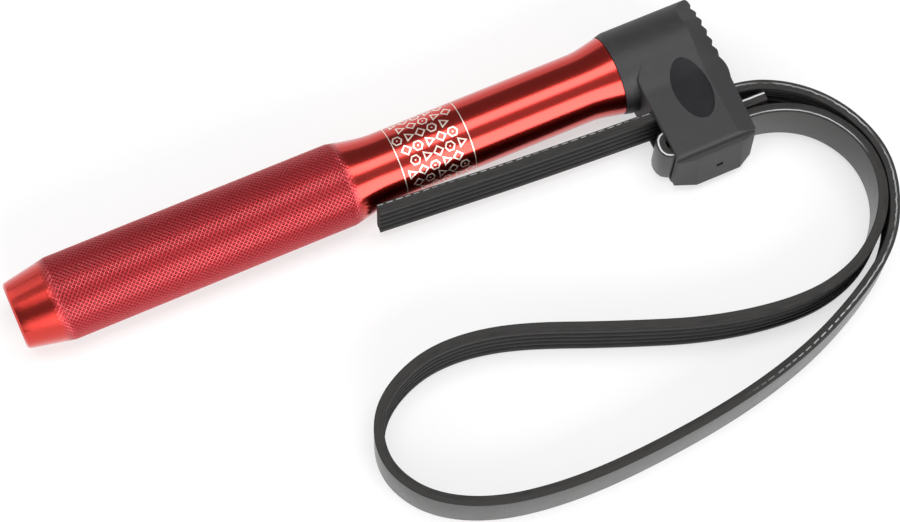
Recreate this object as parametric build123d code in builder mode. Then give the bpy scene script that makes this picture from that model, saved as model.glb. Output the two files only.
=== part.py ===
from build123d import *
import os
from math import asin, atan2, degrees, hypot, radians, sqrt, tan

# A strap wrench: a turned handle, a moulded head and one ribbed belt.
# Tool frame, in mm: X runs along the handle's axis from the butt to the jaw, with X = 0 where
# the handle's shoulder meets the head. Y = 0 and Z = 0 are on the axis. The strap lies on the
# -Y side and stands on its edge, with its ribs on the inner side of the loop. The rest pose at
# the end rolls the tool a little about its axis, so that it lies on the head's socket and on the
# lower edge of the loop.

os.makedirs("parts", exist_ok=True)

# Handle
grip_radius = 15.0
grip_length = 103.5
butt_radius = 12.0
butt_cone_length = 16.5
butt_chamfer = 1.0
waist_radius = 12.5
waist_length = 74.5
neck_length = 17.0
shoulder_radius = 14.4
flare_length = 12.0
spigot_radius = 11.5
spigot_length = 22.0

# Head: socket
socket_radius = 15.2
socket_length = 36.6
rim_wall = 3.0
rim_chamfer_length = 2.7
end_round = 1.4

# Head: block beside the socket. Its flat top runs up onto the socket in a soft slope, whose
# left end slants.
block_start = 5.0
block_thickness = 22.0
block_side = -42.5
block_end_far = 36.2
block_end_near = 35.2
slope_foot = -16.5
slope_top = -3.0
slant_start = (5.0, -10.5)
slant_end = (11.0, -2.0)
edge_round = 0.7
side_round = 1.5

# Head: bevel towards the jaw's lip, above and below, and the facet at its far corner
bevel_start = 28.8
lip_height = 9.5
bevel_end = 6.0
facet_ridge = (3.0, 3.5)
facet_corner = (10.7, 6.8)

# Head: rounded nose between the teeth and the strap's mouth
nose_start = -10.0
nose_valley = -11.8
nose_peak = -16.8
nose_foot = -21.3
nose_proud = 0.4

# Head: jaw teeth, as notches across the end of the socket
notch_count = 5
tooth_pitch = 4.2
tooth_depth = 1.1
notch_width = 3.3
first_notch = 9.0

# Head: swelling of the near wall, thicker at its foot, and the small blind hole in it
pad_depth = 4.5
pad_top_depth = 2.3
pad_start = 12.5
pad_end = 29.4
pad_run_out = 5.5
pad_foot = -9.0
pad_top = 8.0
pad_round = 0.8
slot_length = 2.6
slot_height = 2.0
slot_depth = 2.6
slot_centre = (21.0, -1.0)

# Head: bare oval recess in the top
badge_length = 23.6
badge_width = 13.2
badge_depth = 0.35
badge_centre = (21.4, -20.4)

# Strap: a belt with ribs along its inner side
rib_count = 5
rib_pitch = 3.56
rib_tip = 1.3
rib_height = 2.0
rib_angle = 40.0
strap_thickness = 3.5

# Stud and insert
stud_radius = 5.0
stud_length = 42.0
stud_chamfer = 0.8
insert_radius = 7.0
insert_length = 11.0
insert_groove_depth = 0.6
insert_groove_length = 2.0

# Clearances
spigot_clearance = 0.05
stud_clearance = 0.05
insert_clearance = 0.02
end_gap = 0.3
strap_clearance = 0.35
tunnel_clearance = 0.3
tunnel_flare = 0.9

# Route of the strap's middle line: the corners that it rounds off, from the tail's end through
# the head, round the loop and back through the head to the curl and the cut tip
tail_run = [(-95.5, -17.1), (-40.0, -21.2), (8.0, -23.7)]
outer_bend = [(37.8, -24.8), (51.4, -30.5), (62.4, -40.2), (69.8, -53.1), (72.9, -68.4), (69.0, -83.7)]
near_strand = [(59.4, -98.6), (43.2, -109.7), (17.4, -121.3), (-14.0, -128.7), (-52.0, -132.3)]
left_end = [(-80.0, -132.0), (-103.8, -127.6), (-121.1, -118.0), (-129.8, -104.7), (-129.8, -91.7)]
far_strand = [(-122.6, -79.9), (-107.0, -72.1), (-90.0, -71.1), (-70.0, -75.6), (-40.0, -88.5)]
inner_turn = [(-8.0, -100.7), (22.0, -105.7), (42.0, -102.6), (56.2, -93.9), (65.2, -82.6)]
inner_bend = [(68.5, -70.1), (66.9, -57.8), (59.8, -46.0), (48.8, -38.5), (35.0, -35.4)]
curl = [(2.7, -39.5), (2.7, -31.3)]
tip_end = (44.4, -32.2)
curl_radius = 3.75
part_at = 20.0


def on_line(start, end, x):
    """The point at x on the straight line from start to end."""
    return (x, start[1] + (end[1] - start[1]) * (x - start[0]) / (end[0] - start[0]))


def bend_radii(points, share=0.45):
    """The radius at each corner whose arc starts at that share of the shorter run."""
    radii = []
    for before, corner, after in zip(points, points[1:], points[2:]):
        run_in = Vector(*corner) - Vector(*before)
        run_out = Vector(*after) - Vector(*corner)
        half_turn = radians(run_in.get_angle(run_out)) / 2
        radii.append(share * min(run_in.length, run_out.length) / tan(half_turn))
    return radii


# The strap's three stretches, parted inside the head's tunnel
tail_path = tail_run + [on_line(tail_run[-1], outer_bend[0], part_at)]
loop_path = [on_line(tail_run[-1], outer_bend[0], part_at + end_gap)]
loop_path += outer_bend + near_strand + left_end + far_strand + inner_turn + inner_bend
loop_path += [on_line(inner_bend[-1], curl[0], part_at)]
fold_path = [loop_path[-1]] + curl + [tip_end]

# Sizes that follow from the ones above
strap_width = rib_count * rib_pitch
strap_back = strap_thickness / 2
rib_foot = rib_tip + 2 * rib_height * tan(radians(rib_angle / 2))
rib_floor = rib_height - strap_back
grip_end = -flare_length - waist_length - neck_length
grip_start = grip_end - grip_length
butt = grip_start - butt_cone_length
handle_end = spigot_length - end_gap
stud_end = spigot_length + insert_length
stud_start = stud_end - stud_length
half_block = block_thickness / 2
rim_radius = spigot_radius + rim_wall
pad_face = (block_side - pad_top_depth - 0.1, block_side - pad_top_depth + 0.1)
tunnel_height = strap_width + 2 * tunnel_clearance
wall_offset = strap_back + strap_clearance
mouth_left = block_start - 1
mouth_right = socket_length + 1


def belt_section():
    """Corners of the ribbed section, its back towards +X and its ribs towards -X."""
    corners = [(strap_back, -strap_width / 2), (strap_back, strap_width / 2)]
    corners.append((rib_floor, strap_width / 2))
    for index in range(rib_count):
        middle = strap_width / 2 - (index + 0.5) * rib_pitch
        corners.append((rib_floor, middle + rib_foot / 2))
        corners.append((-strap_back, middle + rib_tip / 2))
        corners.append((-strap_back, middle - rib_tip / 2))
        corners.append((rib_floor, middle - rib_foot / 2))
    corners.append((rib_floor, -strap_width / 2))
    return corners


def across_start(path):
    """Plane across the start of a route, its x axis to the left of the way that it runs."""
    direction = Vector(*path[1]) - Vector(*path[0])
    return Plane(Vector(*path[0]), x_dir=Vector(0, 0, 1).cross(direction), z_dir=direction)


def pad_plan(depth):
    """Outline of the near wall's swelling, seen from above."""
    return [
        (block_start, block_side + side_round),
        (block_start, block_side - depth / 3),
        (pad_start, block_side - depth),
        (pad_end, block_side - depth),
        (pad_end + pad_run_out, block_side - depth / 3),
        (block_end_near, block_side + side_round),
    ]


# Turned handle: butt cone, grip, neck, waist, flare, shoulder and spigot
with BuildPart() as handle_bar:
    with BuildSketch(Plane.XZ):
        with BuildLine():
            Polyline(
                (handle_end, 0),
                (butt, 0),
                (butt, butt_radius - butt_chamfer),
                (butt + butt_chamfer, butt_radius),
                (grip_start, grip_radius),
                (grip_end, grip_radius),
            )
            Spline(
                (grip_end, grip_radius),
                (grip_end + neck_length, waist_radius),
                tangents=[(1, -0.35), (1, 0)],
            )
            Line((grip_end + neck_length, waist_radius), (-flare_length, waist_radius))
            Spline(
                (-flare_length, waist_radius),
                (0, shoulder_radius),
                tangents=[(1, 0), (1, 0.18)],
            )
            Polyline(
                (0, shoulder_radius),
                (0, spigot_radius),
                (handle_end, spigot_radius),
                (handle_end, 0),
            )
        make_face()
    revolve(axis=Axis.X)
    # Bore for the stud
    with BuildSketch(Plane.YZ.offset(handle_end)):
        Circle(stud_radius + stud_clearance)
    extrude(amount=stud_start - end_gap - handle_end, mode=Mode.SUBTRACT)


# Shape that is cut off the head towards its lip: a bevel that is twisted over the slope and
# the socket, and a flat facet at the far corner
def head_top(y):
    """Height of the socket's surface over its axis, at that place across."""
    return sqrt(socket_radius**2 - y**2)


def beyond_lip(start, lip):
    """Height at the end of the cut, on the line from the bevel's start to the lip."""
    return start + (lip - start) * (mouth_right - bevel_start) / (socket_length - bevel_start)


with BuildPart() as end_cut:
    with BuildSketch(Plane.YZ.offset(bevel_start)):
        with BuildLine():
            Polyline(
                (bevel_end, head_top(bevel_end)),
                (bevel_end, socket_radius + 1),
                (block_side - 1, socket_radius + 1),
                (block_side - 1, half_block),
                (slope_foot, half_block),
            )
            Spline(
                (slope_foot, half_block),
                (slope_top, head_top(slope_top)),
                tangents=[(1, 0), (head_top(slope_top), -slope_top)],
            )
            ThreePointArc(
                (slope_top, head_top(slope_top)),
                (bevel_end / 4, head_top(bevel_end / 4)),
                (bevel_end, head_top(bevel_end)),
            )
        make_face()
    with BuildSketch(Plane.YZ.offset(mouth_right)):
        Polygon(
            (bevel_end, beyond_lip(head_top(bevel_end), lip_height)),
            (bevel_end, socket_radius + 1),
            (block_side - 1, socket_radius + 1),
            (block_side - 1, beyond_lip(half_block, lip_height)),
            (slope_foot, beyond_lip(half_block, lip_height)),
            (slope_top, beyond_lip(head_top(slope_top), lip_height)),
            align=None,
        )
    loft(ruled=True)
    ridge = Vector(socket_length, facet_ridge[1], lip_height)
    ridge_start = Vector(bevel_start, facet_ridge[0], head_top(facet_ridge[0]))
    corner = Vector(socket_length, *facet_corner)
    facet_normal = (corner - ridge).cross(ridge_start - ridge)
    with BuildSketch(Plane(ridge, x_dir=corner - ridge, z_dir=facet_normal)):
        Rectangle(4 * socket_radius, 4 * socket_radius)
    extrude(amount=socket_radius)
    mirror(about=Plane.XY)


# Section of the block, with the slope up to the socket
with BuildSketch() as block_section:
    with BuildLine():
        Polyline(
            (slope_top, head_top(slope_top)),
            (slope_top, 0),
            (block_side, 0),
            (block_side, half_block),
            (slope_foot, half_block),
        )
        Spline(
            (slope_foot, half_block),
            (slope_top, head_top(slope_top)),
            tangents=[(1, 0), (head_top(slope_top), -slope_top)],
        )
    make_face()
    mirror(about=Plane.XZ)


# Shape of the bare oval recess, whose floor follows the block's top
with BuildPart() as oval_recess:
    with BuildSketch():
        with Locations(badge_centre):
            Ellipse(badge_width / 2, badge_length / 2)
    extrude(amount=block_thickness)
    with BuildSketch(Plane((block_start, 0, -badge_depth), x_dir=(0, 1, 0), z_dir=(1, 0, 0))):
        add(block_section.sketch)
    extrude(amount=mouth_right - block_start, mode=Mode.SUBTRACT)


# Moulded head
with BuildPart() as head_body:
    # Block trimmed to the plan
    with BuildSketch(Plane.YZ.offset(block_start)):
        add(block_section.sketch)
    extrude(amount=mouth_right - block_start)
    with BuildSketch(Plane.XY.offset(-socket_radius)):
        with BuildLine():
            Polyline(
                (socket_length - tooth_depth, nose_valley),
                (socket_length, nose_start),
                (socket_length, slope_top),
                (slant_end[0], slope_top),
                slant_start,
                (block_start, block_side),
                (block_end_near, block_side),
                (block_end_far, nose_foot),
            )
            Spline(
                (block_end_far, nose_foot),
                (socket_length + nose_proud, nose_peak),
                (socket_length - tooth_depth, nose_valley),
                tangents=[(0.3, 1), (-0.7, 1)],
            )
        make_face()
    extrude(amount=2 * socket_radius, mode=Mode.INTERSECT)
    side_edges = head_body.edges().filter_by_position(Axis.Y, block_side, block_side)
    fillet(side_edges.filter_by(Axis.X), side_round)
    left_edges = head_body.faces().sort_by(Axis.X)[0].edges()
    fillet(left_edges.filter_by_position(Axis.Y, block_side, slope_foot), edge_round)
    # Swelling of the near wall
    with BuildSketch(Plane.XY.offset(pad_foot)):
        Polygon(*pad_plan(pad_depth), align=None)
    with BuildSketch(Plane.XY.offset(pad_top)):
        Polygon(*pad_plan(pad_top_depth), align=None)
    loft(ruled=True)
    pad_edges = head_body.edges().filter_by_position(Axis.Z, pad_top, pad_top)
    fillet(pad_edges.filter_by_position(Axis.Y, *pad_face), pad_round)
    # Round socket, with a long chamfer at its rim and a rounded end
    with BuildSketch(Plane.XZ):
        with BuildLine():
            Polyline(
                (0, 0),
                (0, rim_radius),
                (rim_chamfer_length, socket_radius),
                (socket_length - end_round, socket_radius),
            )
            RadiusArc(
                (socket_length - end_round, socket_radius),
                (socket_length, socket_radius - end_round),
                end_round,
            )
            Polyline((socket_length, socket_radius - end_round), (socket_length, 0), (0, 0))
        make_face()
    revolve(axis=Axis.X)
    # Bevels and facets towards the lip
    add(end_cut.part, mode=Mode.SUBTRACT)
    # Notches between the jaw's teeth
    with BuildSketch(Plane.XY.offset(-half_block)):
        for index in range(notch_count):
            side = first_notch - index * tooth_pitch
            Polygon(
                (socket_length - tooth_depth, side),
                (mouth_right, side + notch_width),
                (mouth_right, side - notch_width),
                align=None,
            )
    extrude(amount=block_thickness, mode=Mode.SUBTRACT)
    # Tunnel for the strap
    with BuildSketch(Plane.XY.offset(-tunnel_height / 2)):
        tail_line = (tail_run[-1], outer_bend[0])
        loop_line = (curl[0], inner_bend[-1])
        Polygon(
            Vector(*on_line(*tail_line, mouth_left)) + (0, wall_offset),
            Vector(*on_line(*tail_line, mouth_right)) + (0, wall_offset),
            Vector(*on_line(*loop_line, mouth_right)) - (0, wall_offset + tunnel_flare),
            Vector(*on_line(*loop_line, mouth_left)) - (0, wall_offset),
            align=None,
        )
    extrude(amount=tunnel_height, mode=Mode.SUBTRACT)
    # Stepped bore for the handle's spigot and the insert
    with BuildSketch(Plane.YZ):
        Circle(spigot_radius + spigot_clearance)
    extrude(amount=spigot_length, mode=Mode.SUBTRACT)
    with BuildSketch(Plane.YZ.offset(spigot_length)):
        Circle(insert_radius + insert_clearance)
    extrude(amount=insert_length, mode=Mode.SUBTRACT)
    # Oval recess in the top, and the blind hole in the near wall
    add(oval_recess.part, mode=Mode.SUBTRACT)
    with BuildSketch(Plane.XZ.offset(-block_side + pad_depth - slot_depth)):
        with Locations(slot_centre):
            Rectangle(slot_length, slot_height)
    extrude(amount=block_thickness, mode=Mode.SUBTRACT)


# Strap, in its three stretches
with BuildPart() as strap_tail:
    with BuildLine():
        FilletPolyline(*tail_path, radius=bend_radii(tail_path))
    with BuildSketch(across_start(tail_path)):
        Polygon(*belt_section(), align=None)
    sweep()

with BuildPart() as strap_loop:
    with BuildLine():
        FilletPolyline(*loop_path, radius=bend_radii(loop_path))
    with BuildSketch(across_start(loop_path)):
        Polygon(*belt_section(), align=None)
    sweep()

with BuildPart() as strap_fold:
    with BuildLine():
        FilletPolyline(*fold_path, radius=curl_radius)
    with BuildSketch(across_start(fold_path)):
        Polygon(*belt_section(), align=None)
    sweep()


# Stud, chamfered at both ends
with BuildPart() as joining_stud:
    with BuildSketch(Plane.YZ.offset(stud_start)):
        Circle(stud_radius)
    extrude(amount=stud_length)
    chamfer(joining_stud.edges().filter_by(GeomType.CIRCLE), stud_chamfer)


# Insert: a bush with a groove that the moulding fills around
with BuildPart() as threaded_insert:
    with BuildSketch(Plane.YZ.offset(spigot_length)):
        Circle(insert_radius)
        Circle(stud_radius + stud_clearance, mode=Mode.SUBTRACT)
    extrude(amount=insert_length)
    with BuildSketch(Plane.YZ.offset(spigot_length + (insert_length - insert_groove_length) / 2)):
        Circle(insert_radius)
        Circle(insert_radius - insert_groove_depth, mode=Mode.SUBTRACT)
    extrude(amount=insert_groove_length, mode=Mode.SUBTRACT)


# Rest pose: the tool is rolled until the loop's outer lower edge comes down to the floor that
# the socket lies on, and its origin is put under the middle of the whole
loop_reach = -strap_loop.part.bounding_box().min.Y
half_width = strap_width / 2
roll = degrees(asin(socket_radius / hypot(loop_reach, half_width)) - atan2(half_width, loop_reach))
rolled = Location((0, 0, socket_radius), (roll, 0, 0))
pieces = {
    "handle_bar": handle_bar.part,
    "head_body": head_body.part,
    "strap_tail": strap_tail.part,
    "strap_loop": strap_loop.part,
    "strap_fold": strap_fold.part,
    "joining_stud": joining_stud.part,
    "threaded_insert": threaded_insert.part,
}
extent = Compound([piece.moved(rolled) for piece in pieces.values()]).bounding_box()
middle = extent.center()
rest = Location((-middle.X, -middle.Y, 0)) * rolled

for name, piece in pieces.items():
    placed = piece.moved(rest)
    placed.label = name
    export_step(placed, f"parts/{name}.step")

print("roll", round(roll, 4), "axis at", [round(value, 3) for value in rest.position])
print("size", [round(value, 2) for value in extent.size], "lowest", round(extent.min.Z, 3))
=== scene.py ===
"""Looks of a strap wrench: a turned red handle, a black moulded head and one ribbed belt."""

import logging
import math
from dataclasses import dataclass, field
from enum import Enum, IntEnum
from typing import Any, ClassVar, Iterable, Sequence, Union

import bmesh
import bpy
from mathutils import Matrix, Vector


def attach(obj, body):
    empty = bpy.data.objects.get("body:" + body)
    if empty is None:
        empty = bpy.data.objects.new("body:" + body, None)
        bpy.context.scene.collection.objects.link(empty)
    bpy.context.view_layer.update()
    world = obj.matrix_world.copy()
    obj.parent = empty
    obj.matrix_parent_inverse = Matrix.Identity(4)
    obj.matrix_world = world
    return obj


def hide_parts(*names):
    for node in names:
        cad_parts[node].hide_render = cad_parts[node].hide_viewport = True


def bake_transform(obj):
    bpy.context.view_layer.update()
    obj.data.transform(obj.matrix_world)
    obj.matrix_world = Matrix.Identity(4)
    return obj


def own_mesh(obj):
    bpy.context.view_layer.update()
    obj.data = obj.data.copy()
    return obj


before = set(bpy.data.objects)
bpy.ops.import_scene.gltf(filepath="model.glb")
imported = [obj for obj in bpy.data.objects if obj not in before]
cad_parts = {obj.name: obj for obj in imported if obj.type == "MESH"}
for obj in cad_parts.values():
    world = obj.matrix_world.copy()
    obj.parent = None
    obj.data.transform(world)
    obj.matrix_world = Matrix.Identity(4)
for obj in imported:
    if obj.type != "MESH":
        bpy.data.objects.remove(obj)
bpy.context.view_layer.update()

log = logging.getLogger("strap_wrench")

Colour = tuple[float, float, float]
Flat = tuple[float, float]
Point = tuple[float, float, float]
MM = 0.001

# Sockets of the Mix node when it mixes colours
MIX_SHARE = 0
MIX_FIRST = 6
MIX_SECOND = 7
MIX_RESULT = 2


class Body(Enum):
    """The two bodies of the part."""

    TOOL = "root"
    TAIL = "strap_end"


class Slot(Enum):
    """The record's material slots."""

    RED = "anodised_red"
    PLASTIC = "black_plastic"
    RUBBER = "ribbed_rubber"
    ZINC = "zinc_steel"
    BRASS = "plain_brass"


class Zone(IntEnum):
    """Parts of the belt's surface, which are also the order of its materials."""

    RIBS = 0
    BACK = 1
    EDGE = 2
    CORD = 3


@dataclass(frozen=True)
class Seat:
    """Where the tool's own frame lies in the row frame.

    In the tool's frame X runs along the handle's axis from the butt to the jaw, with X = 0
    where the handle meets the head.
    """

    origin: Point = (74.817 * MM, 59.5 * MM, 15.2 * MM)
    roll: float = math.radians(2.7004)

    def matrix(self) -> Matrix:
        """The move from the tool's frame to the row frame."""
        return Matrix.Translation(self.origin) @ Matrix.Rotation(self.roll, 4, "X")

    def place(self, x: float, y: float, z: float = 0.0) -> Vector:
        """A point of the tool's frame, in the row frame."""
        return self.matrix() @ Vector((x, y, z))


SEAT = Seat()


class Value:
    """A number that varies over a surface. Arithmetic on it adds Math nodes."""

    def __init__(self, shading: "Shading", socket: bpy.types.NodeSocket) -> None:
        """Wraps one output socket of a node tree."""
        self.shading = shading
        self.socket = socket

    def _math(self, operation: str, *terms: "Number") -> "Value":
        """Adds a Math node.

        Args:
            operation: The node's operation.
            terms: Its inputs, in order.

        Returns:
            The node's result.
        """
        return self.shading.node(
            "ShaderNodeMath", {"operation": operation}, dict(enumerate(terms))
        )

    def __add__(self, other: "Number") -> "Value":
        """Sum."""
        return self._math("ADD", self, other)

    __radd__ = __add__

    def __sub__(self, other: "Number") -> "Value":
        """Difference."""
        return self._math("SUBTRACT", self, other)

    def __rsub__(self, other: "Number") -> "Value":
        """Difference with the number first."""
        return self._math("SUBTRACT", other, self)

    def __mul__(self, other: "Number") -> "Value":
        """Product."""
        return self._math("MULTIPLY", self, other)

    __rmul__ = __mul__

    def __truediv__(self, other: "Number") -> "Value":
        """Quotient."""
        return self._math("DIVIDE", self, other)

    def __rtruediv__(self, other: "Number") -> "Value":
        """Quotient with the number first."""
        return self._math("DIVIDE", other, self)

    def __gt__(self, other: "Number") -> "Value":
        """1 where this is greater."""
        return self._math("GREATER_THAN", self, other)

    def __lt__(self, other: "Number") -> "Value":
        """1 where this is less."""
        return self._math("LESS_THAN", self, other)

    def __abs__(self) -> "Value":
        """Size without the sign."""
        return self._math("ABSOLUTE", self)

    def larger(self, other: "Number") -> "Value":
        """The larger of the two."""
        return self._math("MAXIMUM", self, other)

    def fraction(self) -> "Value":
        """What is left after the whole number."""
        return self._math("FRACT", self)

    def clipped(self) -> "Value":
        """This value kept between 0 and 1."""
        return self.scaled(0.0, 1.0, 0.0, 1.0)

    def rising(self, span: Flat) -> "Value":
        """0 below the span and 1 above it."""
        return self.scaled(*span, 0.0, 1.0)

    def falling(self, span: Flat) -> "Value":
        """1 below the span and 0 above it."""
        return self.scaled(*span, 1.0, 0.0)

    def scaled(self, low: float, high: float, new_low: float, new_high: float) -> "Value":
        """Moves low..high to new_low..new_high and clips what lies outside.

        Args:
            low: Value that becomes new_low.
            high: Value that becomes new_high.
            new_low: Result at low.
            new_high: Result at high.

        Returns:
            The scaled value.
        """
        return self.shading.node(
            "ShaderNodeMapRange",
            {"clamp": True},
            {
                "Value": self,
                "From Min": low,
                "From Max": high,
                "To Min": new_low,
                "To Max": new_high,
            },
        )


Number = Union[Value, float]


class Shading:
    """One node tree of a material or world, and the nodes that are added to it."""

    def __init__(self, tree: bpy.types.NodeTree) -> None:
        """Takes a node tree and empties it."""
        self.tree = tree
        tree.nodes.clear()

    def raw(
        self, kind: str, settings: dict[str, Any], inputs: dict[Union[str, int], Any]
    ) -> bpy.types.Node:
        """Adds any node.

        Args:
            kind: The node's type.
            settings: Its settings, which are set before its inputs.
            inputs: Values or links by socket name or number.

        Returns:
            The node.
        """
        node = self.tree.nodes.new(kind)
        for name, setting in settings.items():
            setattr(node, name, setting)
        for name, value in inputs.items():
            target = node.inputs[name]
            if isinstance(value, Value):
                value = value.socket
            if isinstance(value, bpy.types.NodeSocket):
                self.tree.links.new(value, target)
            elif isinstance(value, tuple) and target.type == "RGBA":
                target.default_value = (*value, 1.0)
            else:
                target.default_value = value
        return node

    def node(
        self,
        kind: str,
        settings: dict[str, Any],
        inputs: dict[Union[str, int], Any],
        output: Union[str, int] = 0,
    ) -> Value:
        """Adds any node, as raw does, and wraps the output of this name or number."""
        return Value(self, self.raw(kind, settings, inputs).outputs[output])

    def place(self) -> Value:
        """Position on the object, in metres in the row frame."""
        return self.node("ShaderNodeTexCoord", {}, {}, "Object")

    def axis(self, name: str) -> Value:
        """One coordinate of the position on the object."""
        return self.node("ShaderNodeSeparateXYZ", {}, {0: self.place()}, name)

    def stored(self, name: str) -> Value:
        """A number that the mesh stores at its vertices."""
        return self.node("ShaderNodeAttribute", {"attribute_name": name}, {}, "Fac")

    def vector(self, x: Number, y: Number, z: Number) -> Value:
        """A vector from three numbers."""
        return self.node("ShaderNodeCombineXYZ", {}, {0: x, 1: y, 2: z})

    def noise(self, at: Value, per_metre: float, detail: float = 2.0) -> Value:
        """Soft noise from 0 to 1.

        Args:
            at: Where it is read.
            per_metre: Number of its blobs in a metre.
            detail: How many finer layers it has.

        Returns:
            The noise.
        """
        return self.node(
            "ShaderNodeTexNoise", {}, {"Vector": at, "Scale": per_metre, "Detail": detail}
        )

    def mixed(self, share: Number, first: Any, second: Any) -> Value:
        """A colour between two colours.

        Args:
            share: 0 for the first colour, 1 for the second.
            first: Colour or link.
            second: Colour or link.

        Returns:
            The mixed colour.
        """
        return self.node(
            "ShaderNodeMix",
            {"data_type": "RGBA"},
            {MIX_SHARE: share, MIX_FIRST: first, MIX_SECOND: second},
            MIX_RESULT,
        )

    def relief(self, height: Value, depth: float, strength: float = 1.0) -> Value:
        """A normal from a height.

        Args:
            height: Height from 0 to 1.
            depth: Depth of the relief in metres.
            strength: How strongly it shows.

        Returns:
            The normal.
        """
        return self.node(
            "ShaderNodeBump",
            {},
            {"Height": height, "Distance": depth, "Strength": strength},
            "Normal",
        )

    def shader(self, inputs: dict[str, Any]) -> Value:
        """Adds a plain surface shader with these values or links of its sockets."""
        return self.node("ShaderNodeBsdfPrincipled", {}, inputs)

    def surface(self, shader: Value) -> None:
        """Ends a material in a shader."""
        self.raw("ShaderNodeOutputMaterial", {}, {"Surface": shader})

    def either(self, share: Value, first: Value, second: Value) -> None:
        """Ends a material in the first shader where the share is 0, in the second where 1."""
        self.surface(self.node("ShaderNodeMixShader", {}, {0: share, 1: first, 2: second}))


class Finish:
    """A finish that can be put on a piece. Each one writes its own nodes."""

    name: str = "finish"
    made: ClassVar[dict[str, bpy.types.Material]] = {}

    def write(self, shading: Shading) -> None:
        """Writes the nodes into an empty tree."""
        raise NotImplementedError

    def material(self) -> bpy.types.Material:
        """The finish's material, made the first time that it is asked for.

        Returns:
            The material, which later pieces share.
        """
        found = Finish.made.get(self.name)
        if found is None:
            found = bpy.data.materials.new(self.name)
            found.use_nodes = True
            self.write(Shading(found.node_tree))
            Finish.made[self.name] = found
        return found


@dataclass(frozen=True)
class AnodisedRed(Finish):
    """Dyed aluminium: bright turned surfaces, a pinker, duller dye where it is knurled, and painted
    shade in the knurl's pits.
    """

    name: str = "dyed_aluminium_and_painted_pit_shade"
    dye: Colour = (0.60, 0.038, 0.028)
    worked_dye: Colour = (0.52, 0.046, 0.055)
    # Colour of the painted shade on the floors of the knurl's pits.
    pit_shade: Colour = (0.19, 0.013, 0.018)
    polish: float = 0.20
    ridge_polish: float = 0.44
    pit_polish: float = 0.52
    coat: float = 0.45
    coat_polish: float = 0.16
    marks_per_metre: float = 2600.0
    marks_depth: float = 0.004 * MM
    clouds_per_metre: float = 55.0

    def write(self, shading: Shading) -> None:
        """Writes the metal's nodes.

        Args:
            shading: The empty tree.
        """
        depth = shading.stored("depth")
        worked = shading.stored("worked")
        x = shading.axis("X")
        marks = shading.noise(shading.vector(x, 0.0, 0.0), self.marks_per_metre, 1.0)
        cloud = shading.noise(shading.place(), self.clouds_per_metre, 3.0)
        # Painted shade: the colour darkens towards each pit's floor. Random cloudy tone lies over
        # the knurl.
        shade = (depth * 0.8 + (cloud - 0.5) * 0.25 * worked.larger(0.25)).clipped()
        duller = worked * (self.ridge_polish - self.polish)
        duller = duller + depth * (self.pit_polish - self.ridge_polish)
        uneven = (marks - 0.5) * 0.06 + (cloud - 0.5) * 0.04
        colour = shading.mixed(worked, self.dye, self.worked_dye)
        metal = shading.shader(
            {
                "Base Color": shading.mixed(shade, colour, self.pit_shade),
                "Metallic": 1.0,
                "Roughness": duller + self.polish + uneven,
                "Coat Weight": self.coat,
                "Coat Roughness": self.coat_polish,
                "Normal": shading.relief(marks, self.marks_depth, 0.5),
            }
        )
        shading.surface(metal)


@dataclass(frozen=True)
class BareMetal(Finish):
    """Marking burnt through the dye: pale bare metal, a little uneven and rubbed."""

    name: str = "burnt_marking"
    pale: Colour = (0.93, 0.84, 0.74)
    rubbed: Colour = (0.78, 0.40, 0.36)
    rubs_per_metre: float = 900.0
    metallic: float = 0.75
    roughness: float = 0.34

    def write(self, shading: Shading) -> None:
        """Writes the marking's nodes.

        Args:
            shading: The empty tree.
        """
        rubs = shading.noise(shading.place(), self.rubs_per_metre, 4.0)
        wear = rubs.scaled(0.56, 0.74, 0.0, 0.8)
        metal = shading.shader(
            {
                "Base Color": shading.mixed(wear, self.pale, self.rubbed),
                "Metallic": self.metallic,
                "Roughness": self.roughness + wear * 0.15,
            }
        )
        shading.surface(metal)


@dataclass(frozen=True)
class MouldedPlastic(Finish):
    """Satin black plastic with a fine spark-eroded grain, and a darker, duller oval recess."""

    name: str = "grained_plastic"
    base: Colour = (0.025, 0.025, 0.027)
    scuffed: Colour = (0.048, 0.047, 0.047)
    recess: Colour = (0.005, 0.005, 0.007)
    roughness: float = 0.54
    recess_roughness: float = 0.62
    gloss: float = 0.36
    recess_gloss: float = 0.12
    grain_per_metre: float = 5200.0
    grain_depth: float = 0.04 * MM
    flow_per_metre: float = 70.0
    scuffs_per_metre: float = 420.0
    oval_centre: Point = (21.4 * MM, -20.4 * MM, 11.0 * MM)
    oval_halves: Flat = (6.6 * MM, 11.8 * MM)
    oval_edge: float = 0.985
    oval_depth: float = 1.2 * MM

    def write(self, shading: Shading) -> None:
        """Writes the plastic's nodes.

        Args:
            shading: The empty tree.
        """
        at = shading.place()
        grain = shading.noise(at, self.grain_per_metre, 2.0)
        flow = shading.noise(at, self.flow_per_metre, 3.0)
        scuffs = shading.noise(at, self.scuffs_per_metre, 4.0).scaled(0.60, 0.74, 0.0, 0.7)
        bump = shading.relief(grain, self.grain_depth, 0.55)
        shell = shading.shader(
            {
                "Base Color": shading.mixed(
                    scuffs * 0.5 + flow * 0.25, self.base, self.scuffed
                ),
                "Roughness": self.roughness + (flow - 0.5) * 0.14 + scuffs * 0.1,
                "Specular IOR Level": self.gloss,
                "Normal": bump,
            }
        )
        plate = shading.shader(
            {
                "Base Color": shading.mixed(flow, self.recess, self.base),
                "Roughness": self.recess_roughness + (flow - 0.5) * 0.1,
                "Specular IOR Level": self.recess_gloss,
                "Normal": bump,
            }
        )
        shading.either(self.oval(shading), shell, plate)

    def oval(self, shading: Shading) -> Value:
        """Where the floor of the oval recess lies.

        Args:
            shading: The plastic's nodes.

        Returns:
            1 on the floor, 0 elsewhere.
        """
        middle = SEAT.place(*self.oval_centre)
        across = (shading.axis("X") - middle.x) / self.oval_halves[0]
        along = (shading.axis("Y") - middle.y) / self.oval_halves[1]
        inside = (across * across + along * along) < self.oval_edge
        return inside * (shading.axis("Z") > middle.z - self.oval_depth)


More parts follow.
